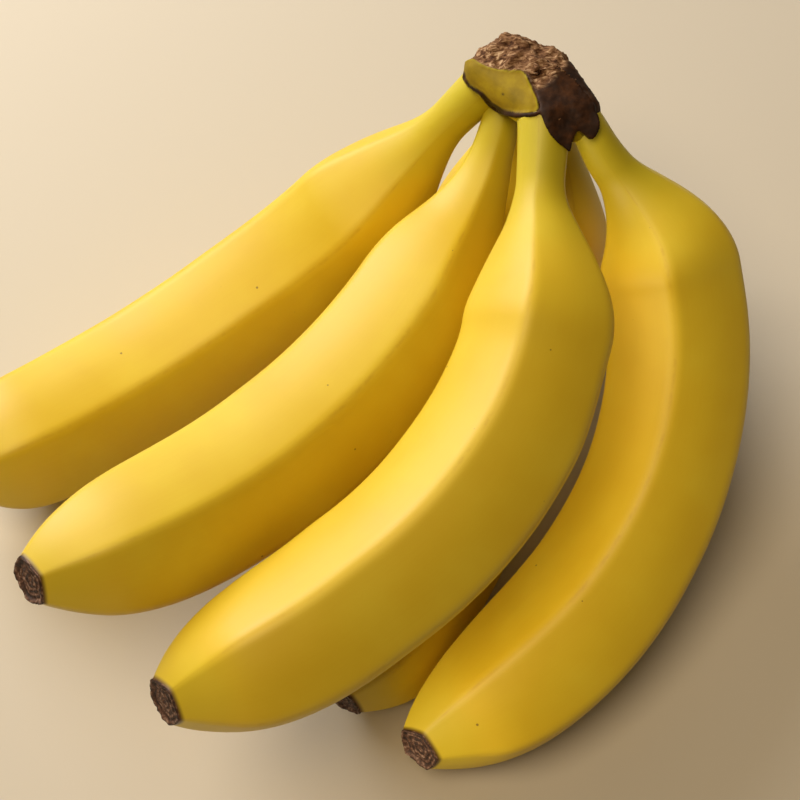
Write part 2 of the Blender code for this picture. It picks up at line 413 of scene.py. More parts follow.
def fingerTree():
    tree = bpy.data.node_groups.new("bananaFinger", "GeometryNodeTree")
    sockets = {
        "Vector": ("Root", "Start", "Inward", "Across", "Scar Facing"),
        "Float": ("Length", "Neck Bend", "Body Bend", "Tip Bend", "Neck Radius", "Girth", "Shoulder",
                  "Taper", "Blunt", "Scar Radius", "Ridge At Neck", "Ridge At Tip", "Flatness",
                  "Scar Tilt", "Seed"),
        "Material": ("Peel", "Scar"),
    }
    for kind, names in sockets.items():
        for name in names:
            tree.interface.new_socket(name=name, in_out="INPUT", socket_type="NodeSocket" + kind)
    tree.interface.new_socket(name="Geometry", in_out="OUTPUT", socket_type="NodeSocketGeometry")
    given = addNode(tree, "NodeGroupInput").outputs
    grid = addNode(tree, "GeometryNodeMeshGrid", {2: fingerColumns + 1, 3: allRows})
    index = addNode(tree, "GeometryNodeInputIndex")
    row = addNode(tree, "ShaderNodeMath", {0: index, 1: float(allRows)}, operation="MODULO")
    division = addNode(tree, "ShaderNodeMath", {0: index, 1: float(allRows)}, operation="DIVIDE")
    column = addNode(tree, "ShaderNodeMath", {0: division}, operation="FLOOR")

    # s runs 0 to 1 along the finger, and opening and closing run over the rows of the two ends
    s = addNode(tree, "ShaderNodeMapRange", {0: row, 1: float(startRows), 2: float(lastRow)})
    opening = addNode(tree, "ShaderNodeMapRange", {0: row, 1: 0.0, 2: float(startRows)})
    closing = addNode(tree, "ShaderNodeMapRange", {0: row, 1: float(lastRow), 2: float(allRows - 1)})

    # the finger bends in one plane, first in the neck, then evenly, then straighter at the tip
    inNeck = addNode(tree, "ShaderNodeMapRange", {0: s, 1: 0.0, 2: shapeValues["neckBendEnd"], 3: 0.0,
                                                  4: given["Neck Bend"]}, interpolation_type="SMOOTHSTEP")
    bodyStart, bodyEnd = shapeValues["bodyBend"]
    inBody = addNode(tree, "ShaderNodeMapRange", {0: s, 1: bodyStart, 2: bodyEnd, 3: 0.0,
                                                  4: given["Body Bend"]})
    inTip = addNode(tree, "ShaderNodeMapRange", {0: s, 1: shapeValues["tipBendStart"], 2: 1.0, 3: 0.0,
                                                 4: given["Tip Bend"]}, interpolation_type="SMOOTHSTEP")
    first = addNode(tree, "ShaderNodeMath", {0: inNeck, 1: inBody}, operation="ADD")
    total = addNode(tree, "ShaderNodeMath", {0: first, 1: inTip}, operation="ADD")
    bend = addNode(tree, "ShaderNodeMath", {0: total}, operation="RADIANS")
    cosine = addNode(tree, "ShaderNodeMath", {0: bend}, operation="COSINE")
    sine = addNode(tree, "ShaderNodeMath", {0: bend}, operation="SINE")
    ahead = addNode(tree, "ShaderNodeVectorMath", {0: given["Start"], 3: cosine}, operation="SCALE")
    aside = addNode(tree, "ShaderNodeVectorMath", {0: given["Inward"], 3: sine}, operation="SCALE")
    direction = addNode(tree, "ShaderNodeVectorMath", {0: ahead, 1: aside}, operation="ADD")

    # the steps along it add up to the spine
    step = addNode(tree, "ShaderNodeMath", {0: given["Length"], 1: fingerRows - 1.0}, operation="DIVIDE")
    after = addNode(tree, "ShaderNodeMath", {0: row, 1: startRows + 0.5}, operation="GREATER_THAN")
    before = addNode(tree, "ShaderNodeMath", {0: row, 1: lastRow + 0.5}, operation="LESS_THAN")
    inside = addNode(tree, "ShaderNodeMath", {0: after, 1: before}, operation="MULTIPLY")
    stride = addNode(tree, "ShaderNodeMath", {0: step, 1: inside}, operation="MULTIPLY")
    leg = addNode(tree, "ShaderNodeVectorMath", {0: direction, 3: stride}, operation="SCALE")
    walked = addNode(tree, "GeometryNodeAccumulateField", {0: leg, 1: column}, data_type="FLOAT_VECTOR")
    spine = addNode(tree, "ShaderNodeVectorMath", {0: given["Root"], 1: walked.outputs["Leading"]},
                    operation="ADD")

    # radius: neck, shoulder, body and a blunt taper to the scar
    body = addNode(tree, "ShaderNodeMapRange", {0: s, 1: shapeValues["shoulderStart"], 2: given["Shoulder"],
                                                3: given["Neck Radius"], 4: given["Girth"]},
                   interpolation_type="SMOOTHSTEP")
    late = addNode(tree, "ShaderNodeMapRange", {0: s, 1: given["Taper"], 2: 1.0})
    curved = addNode(tree, "ShaderNodeMath", {0: late, 1: given["Blunt"]}, operation="POWER")
    share = addNode(tree, "ShaderNodeMath", {0: given["Scar Radius"], 1: given["Girth"]}, operation="DIVIDE")
    drop = addNode(tree, "ShaderNodeMath", {0: 1.0, 1: share}, operation="SUBTRACT")
    lost = addNode(tree, "ShaderNodeMath", {0: curved, 1: drop}, operation="MULTIPLY")
    kept = addNode(tree, "ShaderNodeMath", {0: 1.0, 1: lost}, operation="SUBTRACT")
    radius = addNode(tree, "ShaderNodeMath", {0: body, 1: kept}, operation="MULTIPLY")

    # section: a circle drawn in towards a pentagon with rounded corners
    turn = addNode(tree, "ShaderNodeMath", {0: column, 1: math.tau / fingerColumns}, operation="MULTIPLY")
    fifths = addNode(tree, "ShaderNodeMath", {0: column, 1: 5.0 / fingerColumns}, operation="MULTIPLY")
    part = addNode(tree, "ShaderNodeMath", {0: fifths}, operation="FRACT")
    offset = addNode(tree, "ShaderNodeMath", {0: part, 1: 0.5}, operation="SUBTRACT")
    apart = addNode(tree, "ShaderNodeMath", {0: offset}, operation="ABSOLUTE")
    toRidge = addNode(tree, "ShaderNodeMath", {0: apart, 1: 2.0}, operation="MULTIPLY")
    rounding = shapeValues["rounding"]
    corner = addNode(tree, "ShaderNodeMapRange", {0: toRidge, 1: 1.0 - rounding, 4: rounding})
    squared = addNode(tree, "ShaderNodeMath", {0: corner, 1: corner}, operation="MULTIPLY")
    eased = addNode(tree, "ShaderNodeMath", {0: squared, 1: -0.5 / rounding, 2: toRidge},
                    operation="MULTIPLY_ADD")
    fromFace = addNode(tree, "ShaderNodeMath", {0: eased, 1: math.pi / 5}, operation="MULTIPLY")
    faceCosine = addNode(tree, "ShaderNodeMath", {0: fromFace}, operation="COSINE")
    pentagon = addNode(tree, "ShaderNodeMath", {0: math.cos(math.pi / 5), 1: faceCosine}, operation="DIVIDE")
    inset = addNode(tree, "ShaderNodeMath", {0: 1.0, 1: pentagon}, operation="SUBTRACT")
    roundEnd, flatStart = shapeValues["flatFrom"]
    flatter = addNode(tree, "ShaderNodeMapRange", {0: s, 1: roundEnd, 2: flatStart, 3: 0.05, 4: 1.0})
    flatness = addNode(tree, "ShaderNodeMath", {0: given["Flatness"], 1: flatter}, operation="MULTIPLY")
    drawnIn = addNode(tree, "ShaderNodeMath", {0: inset, 1: flatness}, operation="MULTIPLY")
    plump = addNode(tree, "ShaderNodeMath", {0: flatness, 1: 0.075, 2: 0.995}, operation="MULTIPLY_ADD")
    section = addNode(tree, "ShaderNodeMath", {0: plump, 1: drawnIn}, operation="SUBTRACT")
    grown = addNode(tree, "ShaderNodeMath", {0: radius, 1: section}, operation="MULTIPLY")

    # the root closes inside the crown, and the scar closes over its rim, dip and rings
    opened = setCurve(addNode(tree, "ShaderNodeFloatCurve", {1: opening}), shapeValues["rootEnd"])
    closed = setCurve(addNode(tree, "ShaderNodeFloatCurve", {1: closing}), shapeValues["scarEnd"])
    depth = setCurve(addNode(tree, "ShaderNodeFloatCurve", {1: closing}), shapeValues["scarDepth"])
    ends = addNode(tree, "ShaderNodeMath", {0: opened, 1: closed}, operation="MULTIPLY")
    shaped = addNode(tree, "ShaderNodeMath", {0: grown, 1: ends}, operation="MULTIPLY")

    # side directions of the section, turned so that the ridges keep their place
    inner = addNode(tree, "ShaderNodeVectorMath", {0: given["Across"], 1: direction},
                    operation="CROSS_PRODUCT")
    phase = addNode(tree, "ShaderNodeMapRange", {0: s, 1: 0.0, 2: 1.0, 3: given["Ridge At Neck"],
                                                 4: given["Ridge At Tip"]})
    twist = addNode(tree, "ShaderNodeMath", {0: phase}, operation="RADIANS")
    angle = addNode(tree, "ShaderNodeMath", {0: turn, 1: twist}, operation="ADD")
    angleCosine = addNode(tree, "ShaderNodeMath", {0: angle}, operation="COSINE")
    angleSine = addNode(tree, "ShaderNodeMath", {0: angle}, operation="SINE")
    toInner = addNode(tree, "ShaderNodeVectorMath", {0: inner, 3: angleCosine}, operation="SCALE")
    toAcross = addNode(tree, "ShaderNodeVectorMath", {0: given["Across"], 3: angleSine}, operation="SCALE")
    side = addNode(tree, "ShaderNodeVectorMath", {0: toInner, 1: toAcross}, operation="ADD")
    smooth = addNode(tree, "ShaderNodeVectorMath", {0: side, 3: shaped}, operation="SCALE")
    surface = addNode(tree, "ShaderNodeVectorMath", {0: spine, 1: smooth}, operation="ADD")

    # soft unevenness of the skin
    swell = addNode(tree, "ShaderNodeTexNoise", {"Vector": surface, "W": given["Seed"], "Detail": 1.0,
                                                 "Scale": perMetre(shapeValues["swelling"])},
                    noise_dimensions="4D")
    centred = addNode(tree, "ShaderNodeMath", {0: swell, 1: 0.5}, operation="SUBTRACT")
    lump = addNode(tree, "ShaderNodeMath", {0: centred, 1: ends}, operation="MULTIPLY")
    lumpSize = addNode(tree, "ShaderNodeMath", {0: lump, 1: shapeValues["swellingHeight"] * mm},
                       operation="MULTIPLY")
    lumpShift = addNode(tree, "ShaderNodeVectorMath", {0: side, 3: lumpSize}, operation="SCALE")
    lumpy = addNode(tree, "ShaderNodeVectorMath", {0: surface, 1: lumpShift}, operation="ADD")

    # crust on the scar, which leans a little towards the front
    crust = addNode(tree, "ShaderNodeTexNoise", {"Vector": surface, "Scale": perMetre(shapeValues["crust"]),
                                                 "Detail": 2.0})
    crustLow = addNode(tree, "ShaderNodeMath", {0: crust, 1: 0.5}, operation="SUBTRACT")
    atEnd = addNode(tree, "ShaderNodeMapRange", {0: closing, 1: 0.0, 2: 0.12})
    crustSize = addNode(tree, "ShaderNodeMath", {0: crustLow, 1: atEnd}, operation="MULTIPLY")
    depthSize = addNode(tree, "ShaderNodeMath", {0: crustSize, 1: shapeValues["crustHeight"], 2: depth},
                        operation="MULTIPLY_ADD")
    height = addNode(tree, "ShaderNodeVectorMath", {0: smooth, 1: given["Scar Facing"]},
                     operation="DOT_PRODUCT").outputs["Value"]
    nearTip = addNode(tree, "ShaderNodeMapRange", {0: s, 1: shapeValues["leanStart"], 2: 1.0},
                      interpolation_type="SMOOTHSTEP")
    lean = addNode(tree, "ShaderNodeMath", {0: nearTip, 1: given["Scar Tilt"]}, operation="MULTIPLY")
    leaned = addNode(tree, "ShaderNodeMath", {0: height, 1: lean}, operation="MULTIPLY")
    depthPlain = addNode(tree, "ShaderNodeMath", {0: depthSize, 1: mm}, operation="MULTIPLY")
    depthMetres = addNode(tree, "ShaderNodeMath", {0: depthPlain, 1: leaned}, operation="SUBTRACT")
    endShift = addNode(tree, "ShaderNodeVectorMath", {0: direction, 3: depthMetres}, operation="SCALE")
    ended = addNode(tree, "ShaderNodeVectorMath", {0: lumpy, 1: endShift}, operation="ADD")

    # the lowest bellies flatten on the table
    split = addNode(tree, "ShaderNodeSeparateXYZ", {0: ended})
    level = addNode(tree, "ShaderNodeMath", {0: split.outputs[2], 1: 0.0, 2: shapeValues["restBlend"] * mm},
                    operation="SMOOTH_MAX")
    rested = addNode(tree, "ShaderNodeCombineXYZ", {0: split.outputs[0], 1: split.outputs[1], 2: level})

    # the place on the finger is kept for the materials
    capture = tree.nodes.new("GeometryNodeCaptureAttribute")
    for name in ("Row", "Column", "Along"):
        capture.capture_items.new("FLOAT", name)
    rowShare = addNode(tree, "ShaderNodeMath", {0: row, 1: allRows - 1.0}, operation="DIVIDE")
    columnShare = addNode(tree, "ShaderNodeMath", {0: column, 1: float(fingerColumns)}, operation="DIVIDE")
    for k, node in enumerate((grid, rowShare, columnShare, s)):
        tree.links.new(node.outputs[0], capture.inputs[k])
    placed = addNode(tree, "GeometryNodeSetPosition", {0: capture.outputs[0], 2: rested})
    pair = addNode(tree, "ShaderNodeCombineXYZ", {0: capture.outputs[2], 1: capture.outputs[1]})
    mapped = addNode(tree, "GeometryNodeStoreNamedAttribute", {0: placed, 2: "fingerMap", 3: pair},
                     data_type="FLOAT2", domain="CORNER")
    noted = addNode(tree, "GeometryNodeStoreNamedAttribute", {0: mapped, 2: "along", 3: capture.outputs[3]},
                    data_type="FLOAT", domain="POINT")
    isScar = addNode(tree, "ShaderNodeMath", {0: capture.outputs[1], 1: (lastRow + 0.3) / (allRows - 1)},
                     operation="GREATER_THAN")
    merged = addNode(tree, "GeometryNodeMergeByDistance", {0: noted, 2: 0.001 * mm})
    shaded = addNode(tree, "GeometryNodeSetShadeSmooth", {0: merged})
    real = addNode(tree, "GeometryNodeRealizeInstances", {0: shaded})
    skinned = addNode(tree, "GeometryNodeSetMaterial", {0: real, 2: given["Peel"]})
    scarred = addNode(tree, "GeometryNodeSetMaterial", {0: skinned, 1: isScar, 2: given["Scar"]})
    addNode(tree, "NodeGroupOutput", {0: scarred})
    return tree


def readVectors(items, key):
    values = np.empty(len(items) * 3, np.float32)
    items.foreach_get(key, values)
    return values.reshape(-1, 3).astype(float)


def readAlong(mesh):
    along = np.empty(len(mesh.vertices), np.float32)
    mesh.attributes["along"].data.foreach_get("value", along)
    return along


def strayFrom(mesh, values):
    # real fingers stray a little from the rule: sideways, in girth and towards the front
    places = readVectors(mesh.vertices, "co")
    rows = np.rint(readAlong(mesh) * (fingerRows - 1)).astype(int)
    total = np.bincount(rows, minlength=fingerRows).astype(float)
    spine = np.stack([np.bincount(rows, places[:, i], fingerRows) / total for i in range(3)], 1)
    ahead = np.gradient(spine, axis=0)
    ahead[:2], ahead[-2:] = ahead[3], ahead[-4]
    toView = spine - np.array(eye)
    toView /= np.linalg.norm(toView, axis=1)[:, None]
    sideways = np.cross(toView, ahead)
    sideways /= np.linalg.norm(sideways, axis=1)[:, None]
    reach = np.linalg.norm(places - spine[rows], axis=1)
    girth = np.maximum(np.bincount(rows, reach, fingerRows) / total, 1 * mm)
    girth[0], girth[-1] = girth[1], girth[-2]

    s = np.linspace(0, 1, fingerRows)
    blurRows = 21
    blur = np.exp(-np.linspace(-2, 2, blurRows) ** 2)
    shifts = []
    for key in ("sideways", "swell", "forward"):
        shares, sizes = zip(*values.get(key, ((0, 0),)))
        fine = np.pad(np.interp(s, shares, sizes), blurRows // 2, mode="edge")
        shifts.append(np.convolve(fine, blur / blur.sum(), "valid") * mm)
    aside, growth, front = shifts
    moved = places + (places - spine[rows]) * (growth / girth)[rows][:, None]
    moved += sideways[rows] * aside[rows][:, None] - toView[rows] * front[rows][:, None]

    # the flattened bellies stay on the table
    band = shapeValues["restBand"] * mm
    held = np.maximum(moved[:, 2], np.minimum(places[:, 2], band))
    moved[:, 2] = np.where(moved[:, 2] < band, held, moved[:, 2])
    mesh.vertices.foreach_set("co", moved.astype(np.float32).ravel())
    mesh.update()


def makeFinger(tree, name, values):
    start = heading(values["neck"][0], -values["neck"][1])
    finish = heading(*values["tip"])
    across = start.cross(finish).normalized()
    tipBend = shapeValues["tipBend"]
    obj = linkObject(name + "Peel", bpy.data.meshes.new(name + "Seed"))
    modifier = obj.modifiers.new("finger", "NODES")
    modifier.node_group = tree
    chosen = {
        "Root": Vector(values["root"]) * mm + stemFoot,
        "Start": start, "Inward": across.cross(start), "Across": across,
        "Length": values["length"] * mm,
        "Neck Bend": float(values["neckBend"]),
        "Body Bend": math.degrees(start.angle(finish)) - values["neckBend"] - tipBend,
        "Tip Bend": tipBend,
        "Neck Radius": shapeValues["neckRadius"] * mm, "Girth": values["girth"] * mm,
        "Shoulder": values["shoulder"], "Taper": values["taper"], "Blunt": values["blunt"],
        "Scar Radius": values.get("scarRadius", shapeValues["scarRadius"]) * mm,
        "Ridge At Neck": float(values["ridge"][0]), "Ridge At Tip": float(values["ridge"][1]),
        "Flatness": shapeValues["flatness"],
        "Scar Tilt": float(values["tilt"]), "Scar Facing": -lookAlong,
        "Seed": values["seed"], "Peel": peel, "Scar": scar,
    }
    for item in tree.interface.items_tree:
        if item.in_out == "INPUT":
            modifier[item.identifier] = chosen[item.name]
    bpy.context.view_layer.update()
    shown = obj.evaluated_get(bpy.context.evaluated_depsgraph_get())
    made = bpy.data.meshes.new_from_object(shown)
    obj.modifiers.remove(modifier)
    obj.data = made
    made.name = name + "Peel"
    strayFrom(made, values)
    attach(obj, "root")
    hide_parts(name)
    return obj


def flagLight(lamp, piece):
    # flags keep this lamp off everything but one finger
    only = bpy.data.collections.new(lamp.name + "Only")
    only.objects.link(piece)
    lamp.light_linking.receiver_collection = only
    lamp.light_linking.blocker_collection = only


bananaTree = fingerTree()
fingers = {name: makeFinger(bananaTree, name, values) for name, values in fingerValues.items()}
flagLight(lamps["kicker"], fingers["banana_4"])
print("fingers ready", [len(f.data.polygons) for f in fingers.values()])


# outlines on the crown are in mm right and up from its middle, as seen from the main camera
crownValues = {
    "far": 396.0, "middle": (32.2, 76.7),    # mm from the camera: ahead, then right and up
    # balls under the skin of the crown: a place from the stem and a radius
    "balls": ((-9.2, 4.2, 94.2, 5.3), (-2.6, 7.4, 96.4, 5.4), (5.6, -2.2, 96.6, 5.2), (12.6, -11, 94.6, 5.3),
              (-8.2, 5.5, 90.0, 5.2), (-1, 9.5, 80, 5.4), (1.5, -9.8, 95.2, 4.8), (11.5, -12.5, 93.6, 5.6),
              (8.5, 5, 84.1, 5.8), (3, 16.5, 77.5, 6.0), (2, 12, 84, 5.8),
              (9, -2.3, 94, 5.5), (10.9, -9, 92.5, 5.5), (6.8, 2.4, 95, 5.4)),
    "sleeve": (5.6, 0.035, 0.80),    # radius at the root, where it sinks into the neck, share of the neck
    "bare": ("banana_2", "banana_3", "banana_4"),    # necks that need no sleeve
    "voxel": 0.42 * mm, "smoothing": 5,
    "patch": ((-18.0, 4.0), (-17.2, 6.8), (-14.6, 8.2), (-12.2, 6.4), (-7.4, 5.0), (-3.7, 4.7), (-1.7, 5.0),
              (0.0, 1.2), (1.7, -2.5), (2.0, -5.0), (-0.5, -5.9), (-3.7, -5.9), (-7.4, -5.2), (-9.9, -3.5),
              (-12.1, -1.0), (-15.1, 1.2), (-16.6, 2.6)),
    "bark": ((-19.0, 4.0), (-18.0, 9.0), (-12.0, 16.0), (-5.0, 18.0), (6.0, 15.0), (14.0, 6.0), (21.0, -4.0),
             (17.9, -9.6), (16.4, -11.9), (14.9, -12.6), (12.6, -10.8), (11.6, -10.3), (11.2, -11.4),
             (10.7, -13.1), (10.0, -15.9), (8.5, -14.8), (6.7, -13.2), (4.8, -11.5), (3.5, -9.0),
             (2.5, -6.4), (-0.5, -6.6), (-3.7, -6.6), (-7.4, -5.8), (-9.9, -4.0), (-12.1, -1.3),
             (-15.1, 0.9)),
    "flap": ((-1.7, 5.0), (0.4, 1.2), (2.0, -2.5), (2.7, -6.2), (3.7, -8.9), (5.0, -11.4), (6.9, -13.1),
             (8.7, -14.6), (9.9, -15.8), (10.4, -13.1), (11.1, -11.2), (11.7, -10.2), (12.7, -10.8),
             (14.7, -12.5), (16.1, -11.9), (17.2, -10.0), (17.5, -7.6), (16.2, -4.0), (13.8, 0.0),
             (11.0, 3.6), (7.6, 6.4), (3.0, 6.6)),
    "flapLift": 0.9, "flapSink": 0.5, "flapSpacing": 0.5,    # mm
    # along this edge the flap runs into the crown instead of standing up
    "flapRoot": ((16.2, -4.0), (13.8, 0.0), (11.0, 3.6), (7.6, 6.4), (3.0, 6.6), (-1.7, 5.0)),
    "rootSink": 0.3, "rootFade": 5.0,
    "lip": ((-16.7, 4.2), (-16.4, 2.8), (-15.1, 1.0), (-12.1, -1.0), (-9.9, -3.7), (-7.4, -5.4),
            (-3.7, -6.2), (-0.5, -6.2), (2.4, -5.7)),
    "lipRadius": 0.75, "fleck": (-6.9, -1.1),
    "cut": ((-19, 4.5), (-18, 9), (-13, 14), (-5, 19), (4, 18), (12, 12), (9.0, 6.4), (5.6, 3.4), (3.2, 0.4),
            (1.6, 0.2), (0, 3.4), (-1.7, 4.6), (-3.7, 4.2), (-7.4, 4.6), (-11.1, 5.5), (-13.9, 6.0)),
    "frontFrom": (83.0, 85.0), "backFrom": 83.0, "cutFrom": (90, 93),    # heights where bark and cut start
    "waver": 2.38, "crumbs": 0.77, "tears": 3.03,    # mm, sizes of the unevenness
}


def smoothStep(low, high, value):
    t = np.clip((value - low) / (high - low), 0, 1)
    return t * t * (3 - 2 * t)


def crownRay(x, y):
    across = x + crownValues["middle"][0]
    above = y + crownValues["middle"][1]
    ray = viewRight * across + viewUp * above + lookAlong * crownValues["far"]
    return ray.normalized()


def nearestHit(trees, ray):
    found = [hit[3] for hit in (t.ray_cast(eye, ray) for t in trees) if hit[0] is not None]
    return min(found) if found else None


def softenOutline(points, rounds):
    # corners are cut off at a quarter of each side
    points = list(points)
    for _ in range(rounds):
        rounded = []
        for (x0, y0), (x1, y1) in zip(points, points[1:] + points[:1]):
            rounded.append((x0 * 0.75 + x1 * 0.25, y0 * 0.75 + y1 * 0.25))
            rounded.append((x0 * 0.25 + x1 * 0.75, y0 * 0.25 + y1 * 0.75))
        points = rounded
    return points


def lineDistance(points, where):
    # how far each place is from the line, and at what share of the line's length
    where = np.asarray(where, float)
    best, at = np.full(len(where), 1e9), np.zeros(len(where))
    for k, ((x0, y0), (x1, y1)) in enumerate(zip(points, points[1:])):
        edge = np.array((x1 - x0, y1 - y0))
        span = where - (x0, y0)
        t = np.clip(span @ edge / (edge @ edge), 0, 1)
        gap = np.linalg.norm(span - t[:, None] * edge, axis=1)
        at = np.where(gap < best, (k + t) / (len(points) - 1), at)
        best = np.minimum(best, gap)
    return best, at


def outlineDistance(points, where):
    # positive inside the outline, in the outline's own unit
    where = np.asarray(where, float)
    inside = np.zeros(len(where), bool)
    loop = [*points, points[0]]
    for (x0, y0), (x1, y1) in zip(loop, loop[1:]):
        crosses = (y0 > where[:, 1]) != (y1 > where[:, 1])
        if y1 != y0:
            inside ^= crosses & (where[:, 0] < (x1 - x0) * (where[:, 1] - y0) / (y1 - y0) + x0)
    best = lineDistance(loop, where)[0]
    return np.where(inside, best, -best)


def hullOfBalls(whole, balls):
    bm = bmesh.new()
    for x, y, z, size in balls:
        ball = bmesh.ops.create_icosphere(bm, subdivisions=3, radius=size * mm)
        bmesh.ops.translate(bm, verts=ball["verts"], vec=Vector((x, y, z)) * mm + stemFoot)
    hull = bmesh.ops.convex_hull(bm, input=bm.verts[:])
    kept = set(g for g in hull["geom"] if isinstance(g, bmesh.types.BMFace))
    bmesh.ops.delete(bm, geom=[f for f in bm.faces if f not in kept], context="FACES")
    bmesh.ops.delete(bm, geom=[v for v in bm.verts if not v.link_faces], context="VERTS")
    places = {v: whole.verts.new(v.co) for v in bm.verts}
    for face in bm.faces:
        whole.faces.new([places[v] for v in face.verts])
    bm.free()


def ringOf(mesh, share):
    # middle and mean radius of the finger there, in mm from the stem
    chosen = np.flatnonzero(abs(readAlong(mesh) - share) < 0.6 / fingerRows)
    picked = [mesh.vertices[i].co / mm for i in chosen]
    middle = sum(picked, Vector()) / len(picked)
    size = sum((p - middle).length for p in picked) / len(picked)
    return middle - stemFoot / mm, size


def addSleeves(bm):
    # a sleeve of skin runs from the crown into each neck that stands apart from it
    wide, share, thin = crownValues["sleeve"]
    for name, values in fingerValues.items():
        if name not in crownValues["bare"]:
            sunk, size = ringOf(fingers[name].data, share)
            hullOfBalls(bm, ((*values["root"], min(wide, size + 0.6)), (*sunk, size * thin)))


def fillOutline(outline, spacing):
    # triangles inside the outline, with their points about that far apart
    ring = []
    for (x0, y0), (x1, y1) in zip(outline, outline[1:] + outline[:1]):
        count = max(1, round(math.hypot(x1 - x0, y1 - y0) / spacing))
        ring += [Vector((x0 + (x1 - x0) * k / count, y0 + (y1 - y0) * k / count)) for k in range(count)]
    low = [min(p[i] for p in outline) for i in (0, 1)]
    high = [max(p[i] for p in outline) for i in (0, 1)]
    columns, rows = (int((high[i] - low[i]) / spacing) + 1 for i in (0, 1))
    cells = [(low[0] + i * spacing, low[1] + j * spacing) for i in range(columns) for j in range(rows)]
    room = outlineDistance(outline, cells)
    flat = ring + [Vector(c) for c, r in zip(cells, room) if r > spacing * 0.6]
    edges = [(k, (k + 1) % len(ring)) for k in range(len(ring))]
    points, _, faces = delaunay_2d_cdt(flat, edges, [list(range(len(ring)))], 1, 1e-5)[:3]
    return points, faces


def drapeDepth(points, faces, trees, slack=7 * mm, rounds=60):
    # how far from the camera a sheet lies on what is behind it, pulled taut over the gaps
    hits = [nearestHit(trees, crownRay(*p)) for p in points]
    known = sorted(h for h in hits if h is not None)
    limit = known[len(known) // 2] + slack
    hits = [h if h is not None and h < limit else None for h in hits]
    near = {k: set() for k in range(len(points))}
    for face in faces:
        for a, b in zip(face, face[1:] + face[:1]):
            near[a].add(b)
            near[b].add(a)
    held = [h for h in hits if h is not None]
    depth = [h if h is not None else sum(held) / len(held) for h in hits]
    for _ in range(rounds):
        for k, others in near.items():
            mean = sum(depth[o] for o in others) / len(others)
            depth[k] = mean if hits[k] is None else min(mean, hits[k])
    return depth


def rimOf(faces):
    sides = {}
    for face in faces:
        for a, b in zip(face, face[1:] + face[:1]):
            sides.setdefault(frozenset((a, b)), []).append((a, b))
    return [found[0] for found in sides.values() if len(found) == 1]


def addFlap(bm, trees):
    # the dried flap is a thick sheet that hangs from the cut over the necks
    points, faces = fillOutline(softenOutline(crownValues["flap"], 1), crownValues["flapSpacing"])
    depth = drapeDepth(points, faces, trees)
    fromRoot = lineDistance(crownValues["flapRoot"], [tuple(p) for p in points])[0]
    raised = smoothStep(0, crownValues["rootFade"], fromRoot)
    lift, sink, rootSink = crownValues["flapLift"], crownValues["flapSink"], crownValues["rootSink"]
    tops, soles = [], []
    for p, d, share in zip(points, depth, raised):
        ray = crownRay(*p)
        tops.append(bm.verts.new(eye + ray * (d + (rootSink - (lift + rootSink) * share) * mm)))
        soles.append(bm.verts.new(eye + ray * (d + sink * mm)))
    for face in faces:
        bm.faces.new([tops[k] for k in face])
        bm.faces.new([soles[k] for k in reversed(face)])
    for a, b in rimOf(faces):
        bm.faces.new((tops[b], tops[a], soles[a], soles[b]))


def addLip(bm, trees, steps=6, sides=10, thinSteps=14):
    # a thin dried edge under the green patch, thinner where it starts
    path = []
    for (x0, y0), (x1, y1) in zip(crownValues["lip"], crownValues["lip"][1:]):
        for k in range(steps):
            ray = crownRay(x0 + (x1 - x0) * k / steps, y0 + (y1 - y0) * k / steps)
            hit = nearestHit(trees, ray)
            if hit is not None:
                path.append(eye + ray * hit)
    for _ in range(3):
        inner = [(a + b * 2 + c) / 4 for a, b, c in zip(path, path[1:], path[2:])]
        path = [path[0], *inner, path[-1]]
    rings = []
    for k, p in enumerate(path):
        ahead = (path[min(k + 1, len(path) - 1)] - path[max(k - 1, 0)]).normalized()
        one = ahead.cross(lookAlong).normalized()
        two = ahead.cross(one)
        size = crownValues["lipRadius"] * mm * (0.55 + 0.45 * min(1, k / thinSteps))
        rings.append([bm.verts.new(p + (one * math.cos(t) + two * math.sin(t)) * size)
                      for t in (math.tau * n / sides for n in range(sides))])
    for near, far in zip(rings, rings[1:]):
        for n in range(sides):
            bm.faces.new((near[n], near[(n + 1) % sides], far[(n + 1) % sides], far[n]))
    bm.faces.new(rings[0])
    bm.faces.new(rings[-1])


def crownCore():
    bm = bmesh.new()
    hullOfBalls(bm, crownValues["balls"])
    addSleeves(bm)
    graph = bpy.context.evaluated_depsgraph_get()
    trees = [BVHTree.FromBMesh(bm)] + [BVHTree.FromObject(f, graph) for f in fingers.values()]
    addFlap(bm, trees)
    addLip(bm, trees)
    bmesh.ops.recalc_face_normals(bm, faces=bm.faces)
    mesh = bpy.data.meshes.new("crownSeed")
    bm.to_mesh(mesh)
    bm.free()
    obj = linkObject("crownSeed", mesh)
    remesh = obj.modifiers.new("fuse", "REMESH")
    remesh.mode = "VOXEL"
    remesh.voxel_size = crownValues["voxel"]
    soften = obj.modifiers.new("soften", "SMOOTH")
    soften.factor, soften.iterations = 0.5, crownValues["smoothing"]
    bpy.context.view_layer.update()
    made = bpy.data.meshes.new_from_object(obj.evaluated_get(bpy.context.evaluated_depsgraph_get()))
    bpy.data.objects.remove(obj)
    return made


